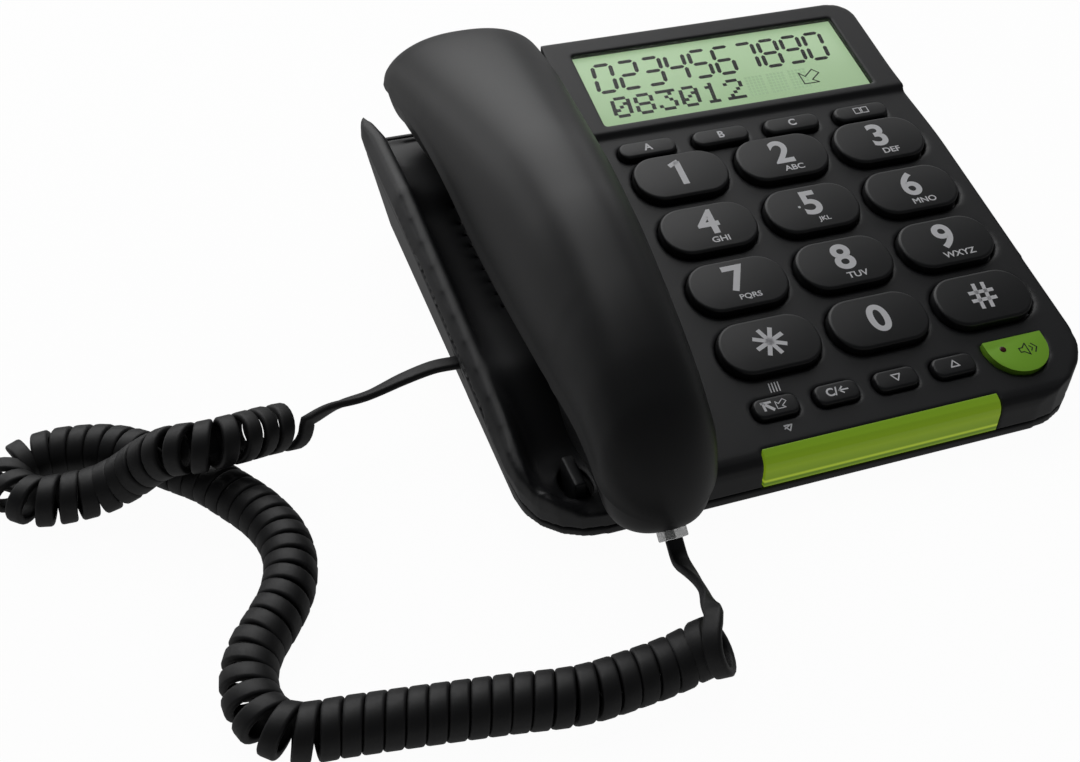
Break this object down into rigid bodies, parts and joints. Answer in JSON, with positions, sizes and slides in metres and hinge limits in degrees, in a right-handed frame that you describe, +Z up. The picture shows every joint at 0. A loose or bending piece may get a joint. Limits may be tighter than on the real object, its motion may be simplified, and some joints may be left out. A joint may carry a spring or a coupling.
{
  "type": "corded desk telephone",
  "caption": "Corded desk telephone with large raised keys, tilted display, light bar along the front, lift-off handset in a side cradle and a curly handset cord.",
  "frame": {"origin": "on the table, under the middle of the telephone without its free cord", "axes": "+Z up, +Y towards the back edge of the base, +X towards the right when facing the keys"},
  "size_m": [0.3359, 0.2567, 0.0885],
  "materials": {
    "charcoal_plastic": "fine satin texture",
    "key_plastic": "soft satin",
    "green_plastic": "smooth",
    "light_bar_plastic": "translucent, smooth",
    "clear_plastic": "clear, smooth",
    "display_panel": "smooth",
    "silicone": "matte",
    "board": "solder mask",
    "component_black": "moulded",
    "zinc_steel": "zinc plated",
    "foot_rubber": "matte",
    "cord_black": "satin"
  },
  "bodies": {
    "base": {"upper_housing": "charcoal_plastic", "lower_housing": "charcoal_plastic", "display_window": "clear_plastic", "display_module": "display_panel", "ring_light_bar": "light_bar_plastic", "key_mat": "silicone", "circuit_board": "board", "base_speaker": "component_black", "hook_switch": "component_black", "base_cord_socket": "component_black", "line_socket": "component_black", "battery_cover": "charcoal_plastic", "battery_1": "zinc_steel", "battery_2": "zinc_steel", "battery_3": "zinc_steel", "foot_front_left": "foot_rubber", "foot_front_right": "foot_rubber", "foot_rear_left": "foot_rubber", "foot_rear_right": "foot_rubber", "base_screw_rear_left": "zinc_steel", "base_screw_rear_right": "zinc_steel", "base_screw_front_left": "zinc_steel", "base_screw_front_middle": "zinc_steel", "cord_plug_base": "clear_plastic", "cord_tail_base": "cord_black", "cord_coil": "cord_black", "cord_tail_handset": "cord_black"},
    "handset": {"handset_outer_shell": "charcoal_plastic", "handset_inner_shell": "charcoal_plastic", "receiver_capsule": "component_black", "microphone_capsule": "zinc_steel", "handset_weight": "zinc_steel", "handset_cord_socket": "component_black", "cord_plug_handset": "clear_plastic"},
    "hook": {"hook_plunger": "charcoal_plastic"},
    "dial_key_1": {"dial_key_1": "key_plastic"},
    "dial_key_2": {"dial_key_2": "key_plastic"},
    "dial_key_3": {"dial_key_3": "key_plastic"},
    "dial_key_4": {"dial_key_4": "key_plastic"},
    "dial_key_5": {"dial_key_5": "key_plastic"},
    "dial_key_6": {"dial_key_6": "key_plastic"},
    "dial_key_7": {"dial_key_7": "key_plastic"},
    "dial_key_8": {"dial_key_8": "key_plastic"},
    "dial_key_9": {"dial_key_9": "key_plastic"},
    "dial_key_star": {"dial_key_star": "key_plastic"},
    "dial_key_0": {"dial_key_0": "key_plastic"},
    "dial_key_hash": {"dial_key_hash": "key_plastic"},
    "memory_key_a": {"memory_key_a": "key_plastic"},
    "memory_key_b": {"memory_key_b": "key_plastic"},
    "memory_key_c": {"memory_key_c": "key_plastic"},
    "phonebook_key": {"phonebook_key": "key_plastic"},
    "redial_key": {"redial_key": "key_plastic"},
    "clear_key": {"clear_key": "key_plastic"},
    "down_key": {"down_key": "key_plastic"},
    "up_key": {"up_key": "key_plastic"},
    "speaker_key": {"speaker_key": "green_plastic"}
  },
  "joints": [
    {"name": "dial_key_1_press", "type": "slide", "parent": "base", "child": "dial_key_1", "axis": [0, 0.2672, -0.9636], "range_m": [0, 0.0015], "stiffness_N_per_m": 600},
    {"name": "dial_key_2_press", "type": "slide", "parent": "base", "child": "dial_key_2", "axis": [0, 0.2672, -0.9636], "range_m": [0, 0.0015], "stiffness_N_per_m": 600},
    {"name": "dial_key_3_press", "type": "slide", "parent": "base", "child": "dial_key_3", "axis": [0, 0.2672, -0.9636], "range_m": [0, 0.0015], "stiffness_N_per_m": 600},
    {"name": "dial_key_4_press", "type": "slide", "parent": "base", "child": "dial_key_4", "axis": [0, 0.2672, -0.9636], "range_m": [0, 0.0015], "stiffness_N_per_m": 600},
    {"name": "dial_key_5_press", "type": "slide", "parent": "base", "child": "dial_key_5", "axis": [0, 0.2672, -0.9636], "range_m": [0, 0.0015], "stiffness_N_per_m": 600},
    {"name": "dial_key_6_press", "type": "slide", "parent": "base", "child": "dial_key_6", "axis": [0, 0.2672, -0.9636], "range_m": [0, 0.0015], "stiffness_N_per_m": 600},
    {"name": "dial_key_7_press", "type": "slide", "parent": "base", "child": "dial_key_7", "axis": [0, 0.2672, -0.9636], "range_m": [0, 0.0015], "stiffness_N_per_m": 600},
    {"name": "dial_key_8_press", "type": "slide", "parent": "base", "child": "dial_key_8", "axis": [0, 0.2672, -0.9636], "range_m": [0, 0.0015], "stiffness_N_per_m": 600},
    {"name": "dial_key_9_press", "type": "slide", "parent": "base", "child": "dial_key_9", "axis": [0, 0.2672, -0.9636], "range_m": [0, 0.0015], "stiffness_N_per_m": 600},
    {"name": "dial_key_star_press", "type": "slide", "parent": "base", "child": "dial_key_star", "axis": [0, 0.2672, -0.9636], "range_m": [0, 0.0015], "stiffness_N_per_m": 600},
    {"name": "dial_key_0_press", "type": "slide", "parent": "base", "child": "dial_key_0", "axis": [0, 0.2672, -0.9636], "range_m": [0, 0.0015], "stiffness_N_per_m": 600},
    {"name": "dial_key_hash_press", "type": "slide", "parent": "base", "child": "dial_key_hash", "axis": [0, 0.2672, -0.9636], "range_m": [0, 0.0015], "stiffness_N_per_m": 600},
    {"name": "memory_key_a_press", "type": "slide", "parent": "base", "child": "memory_key_a", "axis": [0, 0.2672, -0.9636], "range_m": [0, 0.0015], "stiffness_N_per_m": 600},
    {"name": "memory_key_b_press", "type": "slide", "parent": "base", "child": "memory_key_b", "axis": [0, 0.2672, -0.9636], "range_m": [0, 0.0015], "stiffness_N_per_m": 600},
    {"name": "memory_key_c_press", "type": "slide", "parent": "base", "child": "memory_key_c", "axis": [0, 0.2672, -0.9636], "range_m": [0, 0.0015], "stiffness_N_per_m": 600},
    {"name": "phonebook_key_press", "type": "slide", "parent": "base", "child": "phonebook_key", "axis": [0, 0.2672, -0.9636], "range_m": [0, 0.0015], "stiffness_N_per_m": 600},
    {"name": "redial_key_press", "type": "slide", "parent": "base", "child": "redial_key", "axis": [0, 0.2672, -0.9636], "range_m": [0, 0.0015], "stiffness_N_per_m": 600},
    {"name": "clear_key_press", "type": "slide", "parent": "base", "child": "clear_key", "axis": [0, 0.2672, -0.9636], "range_m": [0, 0.0015], "stiffness_N_per_m": 600},
    {"name": "down_key_press", "type": "slide", "parent": "base", "child": "down_key", "axis": [0, 0.2672, -0.9636], "range_m": [0, 0.0015], "stiffness_N_per_m": 600},
    {"name": "up_key_press", "type": "slide", "parent": "base", "child": "up_key", "axis": [0, 0.2672, -0.9636], "range_m": [0, 0.0015], "stiffness_N_per_m": 600},
    {"name": "speaker_key_press", "type": "slide", "parent": "base", "child": "speaker_key", "axis": [0, 0.2672, -0.9636], "range_m": [0, 0.0015], "stiffness_N_per_m": 600},
    {"name": "handset_lift", "type": "slide", "parent": "base", "child": "handset", "axis": [0, 0, 1], "range_m": [0, 0.06]},
    {"name": "hook_rise", "type": "slide", "parent": "base", "child": "hook", "axis": [0, 0, 1], "range_m": [0, 0.0024]}
  ],
  "couplings": [
    {"joint": "hook_rise", "follows": "handset_lift", "ratio": 0.04}
  ]
}
